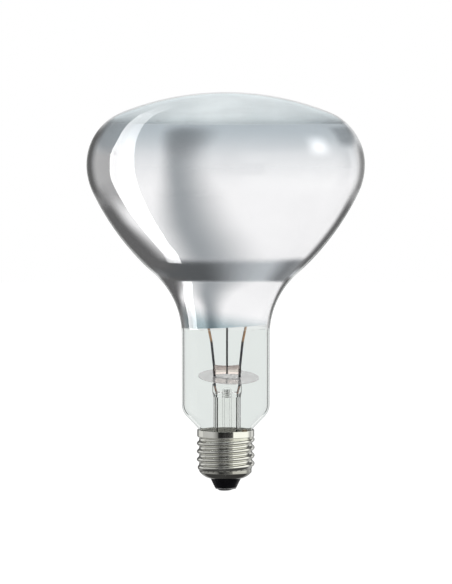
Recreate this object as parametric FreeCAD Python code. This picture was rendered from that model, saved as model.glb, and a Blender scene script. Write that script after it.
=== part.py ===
import FreeCAD, Part
import math
import os

from FreeCAD import Matrix, Placement, Rotation, Vector

# Infrared reflector heat lamp, standing on its screw cap, in millimetres.
# The origin is the middle of the flat tip of the centre contact, and +Z runs up the lamp's axis
# to the domed face. The front is -Y, and the two lead wires stand left and right, along X.

# Blown glass bulb: one wall carried round a chain of arcs, each tangent to the next
overall_length = 179.5
bowl_diameter = 125.0
glass_wall = 1.0
face_radius = 126.0
shoulder_radius = 25.4
upper_flank_radius = 29.3
upper_flank_angle = 25.8
lower_flank_radius = 117.4
throat_radius = 37.0
neck_diameter = 39.6
neck_foot_height = 39.0
neck_corner_radius = 7.8
neck_cone_angle = 44.0
collar_diameter = 21.8
collar_fillet_radius = 7.3
seal_height = 17.0

# Aluminium mirror inside the bowl, from the shoulder down into the neck. It is drawn thicker than
# the real film, and a little clear of the glass.
mirror_thickness = 0.12
mirror_gap = 0.1
mirror_top_angle = 47.0
mirror_edge_height = 74.7
mirror_edge_tilt = 2.9

# Glass stem: a tube with a flare at its foot and a flat press at its head. It was sealed in a
# little to the right of the bulb's axis, and all that it carries stands over to the right with it.
# What is sealed into the press, or hangs above it on the leads, keeps its distance from its top.
stem_shift = 0.6
stem_diameter = 12.4
stem_wall = 1.0
flare_radius = 2.8
seal_ring_width = 2.4
press_top = 48.3
press_width = 13.2
press_depth = 4.6
press_rise = 3.9
press_corner_radius = 2.0
press_bottom = press_top - press_rise
press_shoulder_rise = 2.2
press_shoulder_roundness = 0.98
stem_tube_top = press_bottom - press_shoulder_rise
exhaust_diameter = 4.2
exhaust_wall = 0.9
exhaust_tip_height = 11.5
exhaust_hole_width = 4.2
exhaust_hole_rise = 2.4
exhaust_hole_height = press_top - 2.9

# Baffle, bridge and rod above the stem
baffle_diameter = 27.4
baffle_thickness = 0.25
baffle_height = press_top + 3.0
baffle_shift = 0.7
baffle_tilt = 9.5
baffle_roll = 2.5
baffle_hole_clearance = 0.15
sleeve_diameter = 1.9
sleeve_length = 1.3
sleeve_gap = 0.05
bridge_diameter = 4.6
bridge_height = baffle_height + 3.2
bridge_overhang = 0.75
bridge_waist = 0.35
bridge_end_roundness = 0.55
rod_diameter = 0.9
rod_foot_height = bridge_height - 1.6

# Filament ring and its supports
filament_height = 112.0
filament_ring_radius = 16.0
filament_coil_diameter = 1.5
filament_gap_angle = 120.0
clamp_diameter = 2.6
clamp_length = 2.4
hook_wire_diameter = 0.5
hook_clearance = 0.05
hook_turn_angle = 270.0
hook_count = 4
button_diameter = 5.0
button_height = filament_height - 4.0

# Lead wires, each welded up of three lengths that meet inside the press
lead_diameter = 1.1
seal_wire_diameter = 0.9
seal_wire_bottom = press_top - 4.9
seal_wire_top = press_top - 1.1
outer_lead_diameter = 0.6
outer_lead_offset = 4.4
outer_lead_bend_height = stem_tube_top + 0.4
outer_lead_bend_radius = 1.0
lead_offset = 5.65
lead_splay_height = bridge_height - 0.3
lead_splay_angle = 6.0
lead_kink_height = lead_splay_height + 12.8
lead_kink_angle = 11.5
lead_turn_height = filament_height - 12.0
lead_bend_radius = 8.0
lead_turn_radius = 4.0
lead_end_radius = 2.0

# Screw cap: a sheet metal shell with a rolled thread, in the standard 27 mm size
sheet_thickness = 0.3
thread_crest_diameter = 26.1
thread_root_diameter = 24.0
thread_pitch = 3.629
thread_arc_radius = 1.025
thread_start_height = 12.2
thread_turns_below = 0.35
thread_turns_above = 3.1
thread_run_out = 0.35
skirt_diameter = 25.8
skirt_bottom = 24.2
skirt_step = 0.9
rim_height = 27.4
band_diameter = 23.4
band_top = 9.6
dome_top = 8.3
dome_radius = 7.5
shell_mouth_diameter = 14.6
shell_bottom = 5.5

# Insulator, centre contact, solder and cement of the cap
insulator_fit = 0.05
insulator_top = 8.2
insulator_edge = 0.8
insulator_tip_diameter = 9.9
insulator_bottom = 1.35
contact_diameter = 9.6
contact_thickness = 0.6
contact_edge_radius = 0.4
eyelet_diameter = 3.0
eyelet_bore_diameter = 1.8
eyelet_top = 8.0
solder_diameter = 8.2
solder_flat_diameter = 5.0
solder_shift = 0.5
solder_plug_height = 4.0
cement_fit = 0.05
cement_bottom = 17.6
cement_top = 23.5
rim_lead_run_height = 14.4
rim_lead_azimuth = -49.0
rim_lead_slope_rise = 1.26
rim_lead_top = rim_height + 0.1
contact_lead_turn_height = 13.5
contact_lead_centre_height = 8.5
rim_solder_length = 3.4
rim_solder_depth = 1.9
rim_solder_height = 1.1

# How finely the control points of the rolled shell's surface are laid out
shell_columns = 36
shell_row_step = 0.3
level_tolerance = 0.01

AXIS_START = Vector(0, 0, 0)
UP = Vector(0, 0, 1)
STEM_AXIS = Vector(stem_shift, 0, 0)


def cos_deg(angle):
    return math.cos(math.radians(angle))


def sin_deg(angle):
    return math.sin(math.radians(angle))


def tan_deg(angle):
    return math.tan(math.radians(angle))


def at(radius, height):
    """A point of an outline, in the half plane through the axis."""
    return Vector(radius, 0, height)


def line(start, end):
    return Part.LineSegment(start, end).toShape()


def arc(centre, radius, start_angle, end_angle):
    """An arc of an outline. Angles are in degrees from +X towards +Z."""
    angles = (start_angle, (start_angle + end_angle) / 2, end_angle)
    points = [centre + Vector(radius * cos_deg(a), 0, radius * sin_deg(a)) for a in angles]
    return Part.Arc(*points).toShape()


def spun(edges):
    """A closed outline turned once round the axis."""
    face = Part.Face(Part.Wire(Part.__sortEdges__(edges)))
    return face.revolve(AXIS_START, UP, 360)


def polygon(points):
    """The edges of a closed outline with straight sides."""
    return [line(a, b) for a, b in zip(points, points[1:] + points[:1])]


def bend_path(points, radii):
    """Straight runs through the points. The corners between them are arcs of the given radii."""
    edges = []
    last = points[0]
    for before, corner, after, radius in zip(points, points[1:], points[2:], radii):
        into = (corner - before).normalize()
        out = (after - corner).normalize()
        turn = into.getAngle(out)
        reach = radius * math.tan(turn / 2)
        start = corner - into * reach
        end = corner + out * reach
        towards_centre = (out - into).normalize()
        middle = corner + towards_centre * (radius / math.cos(turn / 2) - radius)
        edges += [line(last, start), Part.Arc(start, middle, end).toShape()]
        last = end
    edges.append(line(last, points[-1]))
    return Part.Wire(edges)


def moved(shape, offset):
    copy = shape.copy()
    copy.translate(offset)
    return copy


def round_wire(path, diameter):
    """A round wire swept along a path."""
    first = path.Edges[0]
    start = first.valueAt(first.FirstParameter)
    along = first.tangentAt(first.FirstParameter)
    section = Part.Wire(Part.makeCircle(diameter / 2, start, along))
    return path.makePipeShell([section], True, False)


def rod(start, end, diameter):
    run = end - start
    return Part.makeCylinder(diameter / 2, run.Length, start, run)


class BulbShape:
    """Centres and angles of the arcs that the bulb's outline is drawn from."""

    def __init__(self):
        bowl_radius = bowl_diameter / 2
        neck_radius = neck_diameter / 2
        collar_radius = collar_diameter / 2
        self.face_angle = math.degrees(
            math.asin((bowl_radius - shoulder_radius) / (face_radius - shoulder_radius))
        )
        self.face_centre = at(0, overall_length - face_radius)
        self.widest = self.face_centre.z + (face_radius - shoulder_radius) * cos_deg(self.face_angle)
        self.shoulder_centre = at(bowl_radius - shoulder_radius, self.widest)
        self.upper_flank_centre = at(bowl_radius - upper_flank_radius, self.widest)
        step = lower_flank_radius - upper_flank_radius
        self.lower_flank_centre = self.upper_flank_centre + at(
            -step * cos_deg(upper_flank_angle), step * sin_deg(upper_flank_angle)
        )
        reach = lower_flank_radius + throat_radius
        self.throat_angle = math.degrees(
            math.acos((neck_radius + throat_radius - self.lower_flank_centre.x) / reach)
        )
        self.throat_centre = self.lower_flank_centre + at(
            reach * cos_deg(self.throat_angle), -reach * sin_deg(self.throat_angle)
        )
        self.corner_centre = at(neck_radius - neck_corner_radius, neck_foot_height)
        across = (
            (collar_radius + collar_fillet_radius) * cos_deg(neck_cone_angle)
            - collar_fillet_radius
            - self.corner_centre.x * cos_deg(neck_cone_angle)
            - neck_corner_radius
        )
        self.collar_top = neck_foot_height + across / sin_deg(neck_cone_angle)
        self.fillet_centre = at(collar_radius + collar_fillet_radius, self.collar_top)

    def bowl_edges(self, inset, top_angle):
        """The shoulder from top_angle down to the neck, set in from the outside by inset."""
        return [
            arc(self.shoulder_centre, shoulder_radius - inset, top_angle, 0),
            arc(self.upper_flank_centre, upper_flank_radius - inset, 0, -upper_flank_angle),
            arc(
                self.lower_flank_centre,
                lower_flank_radius - inset,
                -upper_flank_angle,
                -self.throat_angle,
            ),
            arc(self.throat_centre, throat_radius + inset, 180 - self.throat_angle, 180),
        ]

    def neck_edges(self, inset):
        """The straight neck, the cone below it and the collar inside the cap."""
        neck_radius = neck_diameter / 2 - inset
        collar_radius = collar_diameter / 2 - inset
        normal = at(cos_deg(neck_cone_angle), -sin_deg(neck_cone_angle))
        cone_top = self.corner_centre + normal * (neck_corner_radius - inset)
        cone_bottom = self.fillet_centre - normal * (collar_fillet_radius + inset)
        return [
            line(at(neck_radius, self.throat_centre.z), at(neck_radius, neck_foot_height)),
            arc(self.corner_centre, neck_corner_radius - inset, 0, -neck_cone_angle),
            line(cone_top, cone_bottom),
            arc(
                self.fillet_centre,
                collar_fillet_radius + inset,
                180 - neck_cone_angle,
                180,
            ),
            line(at(collar_radius, self.collar_top), at(collar_radius, seal_height)),
        ]

    def outline(self, inset):
        """The whole wall line from the pole of the face to the seal."""
        face = arc(self.face_centre, face_radius - inset, 90, 90 - self.face_angle)
        bowl = self.bowl_edges(inset, 90 - self.face_angle)
        return [face] + bowl + self.neck_edges(inset)


def glass_bulb(shape):
    collar_radius = collar_diameter / 2
    pole = line(at(0, overall_length - glass_wall), at(0, overall_length))
    seal = line(at(collar_radius - glass_wall, seal_height), at(collar_radius, seal_height))
    return spun(shape.outline(0) + shape.outline(glass_wall) + [pole, seal])


def mirror_coating(shape):
    """A thin lining of the bowl. Its foot is cut by a plane that stands a little askew."""
    outside = glass_wall + mirror_gap
    inside = outside + mirror_thickness
    bottom = neck_foot_height
    neck_outer = neck_diameter / 2 - outside
    neck_inner = neck_diameter / 2 - inside
    top = shape.shoulder_centre
    direction = at(cos_deg(mirror_top_angle), sin_deg(mirror_top_angle))
    edges = shape.bowl_edges(outside, mirror_top_angle) + shape.bowl_edges(inside, mirror_top_angle)
    inner_lip = top + direction * (shoulder_radius - inside)
    outer_lip = top + direction * (shoulder_radius - outside)
    edges += [
        line(inner_lip, outer_lip),
        line(at(neck_outer, shape.throat_centre.z), at(neck_outer, bottom)),
        line(at(neck_inner, shape.throat_centre.z), at(neck_inner, bottom)),
        line(at(neck_inner, bottom), at(neck_outer, bottom)),
    ]
    lining = spun(edges)
    size = 2 * neck_diameter
    below = Part.makeBox(size, size, size, Vector(-size / 2, -size / 2, -size))
    below.Placement = Placement(
        Vector(0, 0, mirror_edge_height), Rotation(Vector(0, 1, 0), -mirror_edge_tilt)
    ).multiply(below.Placement)
    return lining.cut(below)


def rounded_section(width, depth, corner, height):
    """A level rounded rectangle, as a wire."""
    half_width = width / 2 - corner
    half_depth = depth / 2 - corner
    edges = []
    corners = [(1, 1, 0), (-1, 1, 90), (-1, -1, 180), (1, -1, 270)]
    for sign_x, sign_y, start in corners:
        centre = Vector(sign_x * half_width, sign_y * half_depth, height)
        edges.append(Part.makeCircle(corner, centre, UP, start, start + 90))
    ends = [(e.valueAt(e.FirstParameter), e.valueAt(e.LastParameter)) for e in edges]
    sides = [line(ends[i][1], ends[(i + 1) % 4][0]) for i in range(4)]
    return Part.Wire([edge for pair in zip(edges, sides) for edge in pair])


def glass_stem(inserts):
    """Flare, tube and press as one piece, with the wires and the exhaust tube sealed into it."""
    outer = stem_diameter / 2
    inner = outer - stem_wall
    flare_centre = at(outer + flare_radius, seal_height + flare_radius)
    tube = spun(
        [
            line(at(flare_centre.x, seal_height), at(flare_centre.x, seal_height - stem_wall)),
            arc(flare_centre, flare_radius, 270, 180),
            line(at(outer, flare_centre.z), at(outer, stem_tube_top)),
            line(at(outer, stem_tube_top), at(inner, stem_tube_top)),
            line(at(inner, stem_tube_top), at(inner, flare_centre.z)),
            arc(flare_centre, flare_radius + stem_wall, 180, 270),
        ]
    )
    round_corner = outer * press_shoulder_roundness
    round_end = rounded_section(stem_diameter, stem_diameter, round_corner, stem_tube_top)
    flat_end = rounded_section(press_width, press_depth, press_corner_radius, press_bottom)
    shoulder = Part.makeLoft([round_end, flat_end], True)
    head = Part.Face(flat_end).extrude(UP * (press_top - press_bottom))
    stem = moved(tube.fuse([shoulder, head]), STEM_AXIS)
    rim = collar_diameter / 2
    seal_face = polygon(
        [
            at(rim, seal_height),
            at(rim - seal_ring_width, seal_height),
            at(rim - seal_ring_width, seal_height - stem_wall),
            at(rim, seal_height - stem_wall),
        ]
    )
    glass = stem.fuse(spun(seal_face)).removeSplitter()
    return glass.cut([moved(exhaust_hole(), STEM_AXIS)] + inserts)


def exhaust_hole():
    """The oval hole in the front of the press that the bulb was pumped through."""
    oval = Part.Ellipse(AXIS_START, exhaust_hole_width / 2, exhaust_hole_rise / 2).toShape()
    hole = Part.Face(Part.Wire(oval)).extrude(UP * press_depth)
    hole.rotate(AXIS_START, Vector(1, 0, 0), 90)
    return moved(hole, UP * exhaust_hole_height)


def exhaust_tube():
    """The tube that the bulb was pumped through, closed by a melted tip inside the cap."""
    outer = exhaust_diameter / 2
    inner = outer - exhaust_wall
    tip_centre = at(0, exhaust_tip_height + outer)
    tube = spun(
        [
            arc(tip_centre, outer, 270, 360),
            line(at(outer, tip_centre.z), at(outer, exhaust_hole_height)),
            line(at(outer, exhaust_hole_height), at(inner, exhaust_hole_height)),
            line(at(inner, exhaust_hole_height), at(inner, tip_centre.z)),
            arc(tip_centre, inner, 360, 270),
            line(at(0, exhaust_tip_height), at(0, exhaust_tip_height + exhaust_wall)),
        ]
    )
    return moved(tube, STEM_AXIS)


def ring_point(azimuth):
    """A point of the filament's ring, about the stem's own axis."""
    way = Vector(cos_deg(azimuth), sin_deg(azimuth), 0)
    return way * filament_ring_radius + UP * filament_height


def lead_points(side):
    """Corners of a lead wire from the stem's foot to the filament. side is -1 left, 1 right."""
    at_kink = lead_offset + (lead_kink_height - lead_splay_height) * tan_deg(lead_splay_angle)
    at_turn = at_kink + (lead_turn_height - lead_kink_height) * tan_deg(lead_kink_angle)
    end = ring_point(90 - side * filament_gap_angle / 2)
    corners = {
        "bend": Vector(side * outer_lead_offset, 0, outer_lead_bend_height),
        "press_head": Vector(side * lead_offset, 0, press_top),
        "splay": Vector(side * lead_offset, 0, lead_splay_height),
        "kink": Vector(side * at_kink, 0, lead_kink_height),
        "turn": Vector(side * at_turn, 0, lead_turn_height),
        "under_end": end - UP * clamp_diameter,
        "end": end,
    }
    return {name: corner + STEM_AXIS for name, corner in corners.items()}


def on_slant(corners, height):
    """The point of the slanted run through the press at a height."""
    low, high = corners["bend"], corners["press_head"]
    share = (height - low.z) / (high.z - low.z)
    return low + (high - low) * share


def lead_wire(side, clamp):
    """The nickel wire from the seal up to the filament's clamp."""
    corners = lead_points(side)
    names = ("press_head", "splay", "kink", "turn", "under_end", "end")
    points = [on_slant(corners, seal_wire_top)] + [corners[name] for name in names]
    radii = [lead_bend_radius, lead_bend_radius, lead_bend_radius, lead_turn_radius, lead_end_radius]
    return round_wire(bend_path(points, radii), lead_diameter).cut(clamp)


def seal_wire(side):
    corners = lead_points(side)
    return rod(
        on_slant(corners, seal_wire_bottom), on_slant(corners, seal_wire_top), seal_wire_diameter
    )


def outer_lead(points):
    radii = [outer_lead_bend_radius] * (len(points) - 2)
    return round_wire(bend_path(points, radii), outer_lead_diameter)


def contact_lead():
    """The left outer lead, which runs down to the centre contact."""
    corners = lead_points(-1)
    bend = corners["bend"]
    return outer_lead(
        [
            on_slant(corners, seal_wire_bottom),
            bend,
            Vector(bend.x, 0, contact_lead_turn_height),
            Vector(0, 0, contact_lead_centre_height),
            Vector(0, 0, insulator_bottom - contact_thickness),
        ]
    )


def rim_lead():
    """The right outer lead, which runs out under the flare and up to the cap's rim."""
    corners = lead_points(1)
    bend = corners["bend"]
    way = Vector(cos_deg(rim_lead_azimuth), sin_deg(rim_lead_azimuth), 0)
    in_cement = (collar_diameter / 2 + thread_root_diameter / 2 - sheet_thickness) / 2
    at_rim = skirt_diameter / 2 - sheet_thickness - outer_lead_diameter / 2 - cement_fit
    return outer_lead(
        [
            on_slant(corners, seal_wire_bottom),
            bend,
            Vector(bend.x, 0, rim_lead_run_height),
            way * in_cement + UP * rim_lead_run_height,
            way * in_cement + UP * skirt_bottom,
            way * at_rim + UP * (skirt_bottom + rim_lead_slope_rise),
            way * at_rim + UP * rim_lead_top,
        ]
    )


def bridge(inserts):
    """A glass rod melted across the two leads and the support rod, a little slack in its middle."""
    half_length = lead_offset + bridge_overhang
    radius = bridge_diameter / 2
    waist = radius - bridge_waist
    end_round = radius * bridge_end_roundness
    side = Part.Arc(
        at(radius, end_round - half_length), at(waist, 0), at(radius, half_length - end_round)
    ).toShape()
    outline = [side, line(at(0, -half_length), at(0, half_length))]
    for sign in (-1, 1):
        corner = at(radius - end_round, sign * (half_length - end_round))
        outline.append(arc(corner, end_round, 0, sign * 90))
        outline.append(line(at(0, sign * half_length), at(corner.x, sign * half_length)))
    bead = spun(outline)
    bead.rotate(AXIS_START, Vector(0, 1, 0), 90)
    return moved(bead, STEM_AXIS + UP * bridge_height).cut(inserts)


def support_rod():
    """The rod that the filament's hooks hang on, with its foot in the bridge."""
    return rod(STEM_AXIS + UP * rod_foot_height, STEM_AXIS + UP * button_height, rod_diameter)


def baffle_placement():
    tilt = Rotation(Vector(1, 0, 0), baffle_tilt)
    roll = Rotation(Vector(0, 1, 0), baffle_roll)
    centre = STEM_AXIS + Vector(baffle_shift, 0, baffle_height)
    return Placement(centre, roll.multiply(tilt))


def heat_baffle():
    """A mica disc that keeps the hot gas out of the neck. It hangs a little askew on the leads."""
    disc = Part.makeCylinder(baffle_diameter / 2, baffle_thickness)
    disc.Placement = baffle_placement()
    hole = lead_diameter + 2 * baffle_hole_clearance
    low = UP * (baffle_height - bridge_diameter)
    high = UP * (baffle_height + bridge_diameter)
    leads = [STEM_AXIS + Vector(side * lead_offset, 0, 0) for side in (-1, 1)]
    return disc.cut([rod(lead + low, lead + high, hole) for lead in leads])


def crimp_sleeve(side):
    """A sleeve crimped on a lead, close under the baffle, which rests on the two of them."""
    normal = baffle_placement().Rotation.multVec(UP)
    centre = STEM_AXIS + Vector(side * lead_offset, 0, 0)
    from_middle = centre - baffle_placement().Base
    slope = math.hypot(normal.x, normal.y) / normal.z
    underside = -(normal.x * from_middle.x + normal.y * from_middle.y) / normal.z
    top = centre + UP * (baffle_height + underside - sleeve_gap - slope * sleeve_diameter / 2)
    bottom = top - UP * sleeve_length
    return rod(bottom, top, sleeve_diameter).cut(rod(bottom, top, lead_diameter))


def filament():
    """The coiled filament as the tube that its coils fill, on an open ring."""
    start = 90 + filament_gap_angle / 2
    end = 450 - filament_gap_angle / 2
    angles = (start, (start + end) / 2, end)
    ring = Part.Arc(*[ring_point(angle) for angle in angles]).toShape()
    return moved(round_wire(Part.Wire(ring), filament_coil_diameter), STEM_AXIS)


def filament_clamp(side):
    """A nickel sleeve that holds an end of the filament on its lead."""
    azimuth = 90 - side * filament_gap_angle / 2
    along = Vector(-sin_deg(azimuth), cos_deg(azimuth), 0) * side
    centre = ring_point(azimuth) + STEM_AXIS
    half_length = clamp_length / 2
    return rod(centre - along * half_length, centre + along * half_length, clamp_diameter)


def hook_path():
    """In the plane of the axis: straight out from the button, then round the filament."""
    centre = at(filament_ring_radius, filament_height)
    reach = (filament_coil_diameter + hook_wire_diameter) / 2 + hook_clearance
    start = at(button_diameter / 4, button_height)
    run = centre - start
    lean = math.degrees(math.atan2(run.z, run.x))
    spread = math.degrees(math.asin(reach / run.Length))
    first = lean - spread - 90
    touch = centre + Vector(reach * cos_deg(first), 0, reach * sin_deg(first))
    return Part.Wire([line(start, touch), arc(centre, reach, first, first + hook_turn_angle)])


def filament_hooks():
    """Molybdenum hooks, evenly spread over the part of the ring between the two clamps."""
    hook = round_wire(hook_path(), hook_wire_diameter)
    first = 90 + filament_gap_angle / 2
    step = (360 - filament_gap_angle) / (hook_count + 1)
    hooks = []
    for i in range(hook_count):
        one = hook.copy()
        one.rotate(AXIS_START, UP, first + step * (i + 1))
        hooks.append(moved(one, STEM_AXIS))
    return hooks


def hook_button(inserts):
    """The glass bead on the rod's head that the hooks are set in."""
    return Part.makeSphere(button_diameter / 2, STEM_AXIS + UP * button_height).cut(inserts)


def thread_height(distance):
    """Height of the rolled thread over its root, at a distance along the axis from the crest."""
    depth = (thread_crest_diameter - thread_root_diameter) / 2
    half_pitch = thread_pitch / 2
    flank = flank_angle()
    arc_reach = thread_arc_radius * math.sin(flank)
    distance = abs(distance)
    if distance < arc_reach:
        return depth - thread_arc_radius + math.sqrt(thread_arc_radius**2 - distance**2)
    if distance < half_pitch - arc_reach:
        return depth / 2 + (half_pitch / 2 - distance) * math.tan(flank)
    from_root = half_pitch - distance
    return thread_arc_radius - math.sqrt(thread_arc_radius**2 - from_root**2)


def flank_angle():
    """Slope of the flank that joins the crest and root arcs at the thread's depth and pitch."""
    depth = (thread_crest_diameter - thread_root_diameter) / 2
    low, high = 0.0, math.pi / 2
    for _ in range(60):
        angle = (low + high) / 2
        straight = thread_pitch / 2 - 2 * thread_arc_radius * math.sin(angle)
        rise = 2 * thread_arc_radius * (1 - math.cos(angle)) + straight * math.tan(angle)
        if rise < depth:
            low = angle
        else:
            high = angle
    return low


def ease(share):
    share = min(max(share, 0.0), 1.0)
    return share * share * (3 - 2 * share)


def thread_rise(azimuth_turns, height):
    """The thread's height at a place on the shell, with its two ends run out smoothly."""
    turns = (height - thread_start_height) / thread_pitch - azimuth_turns
    nearest = math.floor(turns + 0.5)
    along = azimuth_turns + nearest
    begin = along + thread_turns_below
    end = thread_turns_above - along
    fade = ease(begin / thread_run_out + 1) * ease(end / thread_run_out + 1)
    return fade * thread_height((turns - nearest) * thread_pitch)


def dome_centre():
    """The centre of the arc that rounds the shell's foot, between its mouth and its band."""
    mouth = at(shell_mouth_diameter / 2, shell_bottom)
    knee = at(band_diameter / 2, dome_top)
    chord = knee - mouth
    inward = Vector(-chord.z, 0, chord.x).normalize()
    return mouth + chord * 0.5 + inward * math.sqrt(dome_radius**2 - (chord.Length / 2) ** 2)


def angle_about(centre, point):
    return math.degrees(math.atan2(point.z - centre.z, point.x - centre.x))


def shell_outline():
    """The shell's outside without its thread, as points from its mouth to its rim."""
    centre = dome_centre()
    first = angle_about(centre, at(shell_mouth_diameter / 2, shell_bottom))
    last = angle_about(centre, at(band_diameter / 2, dome_top))
    dome = arc(centre, dome_radius, first, last)
    points = dome.discretize(round(dome.Length / shell_row_step))
    rows = round((rim_height - dome_top) / shell_row_step)
    for i in range(rows + 1):
        height = dome_top + (rim_height - dome_top) * i / rows
        to_root = ease((height - band_top) / skirt_step)
        to_skirt = ease((height - skirt_bottom) / skirt_step + 0.5)
        diameter = band_diameter + (thread_root_diameter - band_diameter) * to_root
        diameter += (skirt_diameter - thread_root_diameter) * to_skirt
        points.append(at(diameter / 2, height))
    return points


def shell_radius(point, azimuth_turns):
    """The outside radius where the thread is added to a point of the outline."""
    if point.z < dome_top:
        return point.x
    rise = thread_rise(azimuth_turns, point.z)
    if rise <= 0:
        return point.x
    return max(point.x, thread_root_diameter / 2 + rise)


def shell_surface(inset):
    """One closed spline surface round the axis. Its control points stand a little outside the
    shell's outside, so that the spline between them runs on it, or are set in from there."""
    outline = shell_outline()
    outward = 3 / (2 + cos_deg(360 / shell_columns))
    poles = []
    for i in range(shell_columns):
        turn = i / shell_columns
        way = Vector(cos_deg(360 * turn), sin_deg(360 * turn), 0)
        column = []
        for j, point in enumerate(outline):
            run = outline[min(j + 1, len(outline) - 1)] - outline[max(j - 1, 0)]
            square = Vector(run.z, 0, -run.x).normalize()
            inward = square * inset if 0 < j and point.z < dome_top else Vector(inset, 0, 0)
            radius = (shell_radius(point, turn) - inward.x) * outward
            column.append(way * radius + UP * (point.z - inward.z))
        poles.append(column)
    rows = len(outline)
    surface = Part.BSplineSurface()
    surface.buildFromPolesMultsKnots(
        poles,
        [1] * (shell_columns + 1),
        [4] + [1] * (rows - 4) + [4],
        [float(k) for k in range(shell_columns + 1)],
        [float(k) for k in range(rows - 2)],
        True,
        False,
        3,
        3,
    )
    return surface


def shell_solid(inset):
    """The solid inside a shell surface, closed flat at the mouth and the rim."""
    side = shell_surface(inset).toShape()
    faces = [side]
    for height in (shell_bottom, rim_height):
        faces.append(Part.Face(Part.Wire([e for e in side.Edges if is_level(e, height)])))
    shell = Part.makeShell(faces)
    shell.sewShape()
    solid = Part.Solid(shell)
    if solid.Volume < 0:
        solid.reverse()
    return solid


def cap_shell():
    """The rolled sheet: what lies between its outside and its inside."""
    return shell_solid(0).cut(shell_solid(sheet_thickness))


def is_level(edge, height):
    box = edge.BoundBox
    return abs(box.ZMin - height) < level_tolerance and abs(box.ZMax - height) < level_tolerance


def cap_insulator():
    """The black glass that was poured into the shell's foot. It fills the dome and holds the contact."""
    neck = shell_mouth_diameter / 2 - sheet_thickness - insulator_fit
    centre = dome_centre()
    radius = dome_radius - sheet_thickness - insulator_fit
    first = -math.degrees(math.acos((neck - centre.x) / radius))
    last = math.degrees(math.asin((insulator_top - insulator_edge - centre.z) / radius))
    dome_start = centre + at(radius * cos_deg(first), radius * sin_deg(first))
    dome_end = centre + at(radius * cos_deg(last), radius * sin_deg(last))
    hole = eyelet_diameter / 2
    points = [
        dome_end,
        at(dome_end.x - insulator_edge, insulator_top),
        at(hole + insulator_edge, insulator_top),
        at(hole, insulator_top - insulator_edge),
        at(hole, insulator_bottom),
        at(insulator_tip_diameter / 2, insulator_bottom),
        at(neck, shell_bottom),
        dome_start,
    ]
    sides = [line(a, b) for a, b in zip(points, points[1:])]
    return spun(sides + [arc(centre, radius, first, last)])


def contact_plate():
    """The centre contact: a plate with a rounded edge on the end of an eyelet."""
    top = insulator_bottom
    bottom = top - contact_thickness
    outer = contact_diameter / 2
    corner = at(outer - contact_edge_radius, bottom + contact_edge_radius)
    bore = eyelet_bore_diameter / 2
    barrel = eyelet_diameter / 2
    return spun(
        [
            line(at(bore, bottom), at(corner.x, bottom)),
            arc(corner, contact_edge_radius, 270, 360),
            line(at(outer, corner.z), at(outer, top)),
            line(at(outer, top), at(barrel, top)),
            line(at(barrel, top), at(barrel, eyelet_top)),
            line(at(barrel, eyelet_top), at(bore, eyelet_top)),
            line(at(bore, eyelet_top), at(bore, bottom)),
        ]
    )


def contact_solder(lead):
    """Solder that fills the eyelet and stands out below the contact, more to the left."""
    plate_bottom = insulator_bottom - contact_thickness
    outer = solder_diameter / 2
    flat = solder_flat_diameter / 2
    round_top = Part.makeCircle(outer, UP * plate_bottom)
    flat_bottom = Part.makeCircle(flat, Vector(-solder_shift, 0, 0))
    lump = Part.makeLoft([Part.Wire(flat_bottom), Part.Wire(round_top)], True)
    plug = Part.makeCylinder(eyelet_bore_diameter / 2, solder_plug_height)
    return lump.fuse(plug).removeSplitter().cut(lead)


def cement_ring(lead):
    """The cement that holds the glass collar in the shell."""
    inner = collar_diameter / 2
    outer = thread_root_diameter / 2 - sheet_thickness - cement_fit
    ring = spun(
        polygon(
            [
                at(inner, cement_bottom),
                at(outer, cement_bottom),
                at(outer, cement_top),
                at(inner, cement_top),
            ]
        )
    )
    return ring.cut(lead)


def rim_solder(bulb, lead):
    """The solder that joins the rim lead to the top of the shell."""
    radius = (skirt_diameter - sheet_thickness) / 2
    ball = Part.makeSphere(1)
    scale = Matrix()
    scale.scale(rim_solder_depth / 2, rim_solder_length / 2, rim_solder_height)
    drop = ball.transformGeometry(scale)
    drop.translate(Vector(radius, 0, rim_height))
    drop.rotate(AXIS_START, UP, rim_lead_azimuth)
    size = 2 * skirt_diameter
    above = Part.makeBox(size, size, size, Vector(-size / 2, -size / 2, rim_height))
    return drop.common(above).cut([bulb, lead])


def build():
    """Every piece of the lamp by name."""
    shape = BulbShape()
    pieces = {"glass_bulb": glass_bulb(shape), "mirror_coating": mirror_coating(shape)}
    clamps = {side: filament_clamp(side) for side in (-1, 1)}
    leads = {side: lead_wire(side, clamps[side]) for side in (-1, 1)}
    seals = {side: seal_wire(side) for side in (-1, 1)}
    to_contact = contact_lead()
    to_rim = rim_lead()
    centre_rod = support_rod()
    hooks = filament_hooks()
    ring = filament()
    exhaust = exhaust_tube()
    sealed_in = [leads[-1], leads[1], seals[-1], seals[1], to_contact, to_rim, exhaust]
    pieces["glass_stem"] = glass_stem(sealed_in)
    pieces["exhaust_tube"] = exhaust
    for side, name in ((-1, "left"), (1, "right")):
        pieces["lead_wire_" + name] = leads[side]
        pieces["seal_wire_" + name] = seals[side]
        pieces["crimp_sleeve_" + name] = crimp_sleeve(side)
        pieces["filament_clamp_" + name] = clamps[side].cut(ring)
    pieces["contact_lead"] = to_contact
    pieces["rim_lead"] = to_rim
    pieces["glass_bridge"] = bridge([leads[-1], leads[1], centre_rod])
    pieces["support_rod"] = centre_rod
    pieces["heat_baffle"] = heat_baffle()
    pieces["filament"] = ring
    for i, hook in enumerate(hooks):
        pieces["filament_hook_" + str(i + 1)] = hook
    pieces["hook_button"] = hook_button(hooks + [centre_rod])
    pieces["cap_shell"] = cap_shell()
    pieces["cap_insulator"] = cap_insulator()
    pieces["contact_plate"] = contact_plate()
    pieces["contact_solder"] = contact_solder(to_contact)
    pieces["cap_cement"] = cement_ring(to_rim)
    pieces["rim_solder"] = rim_solder(pieces["glass_bulb"], to_rim)
    return pieces


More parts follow.
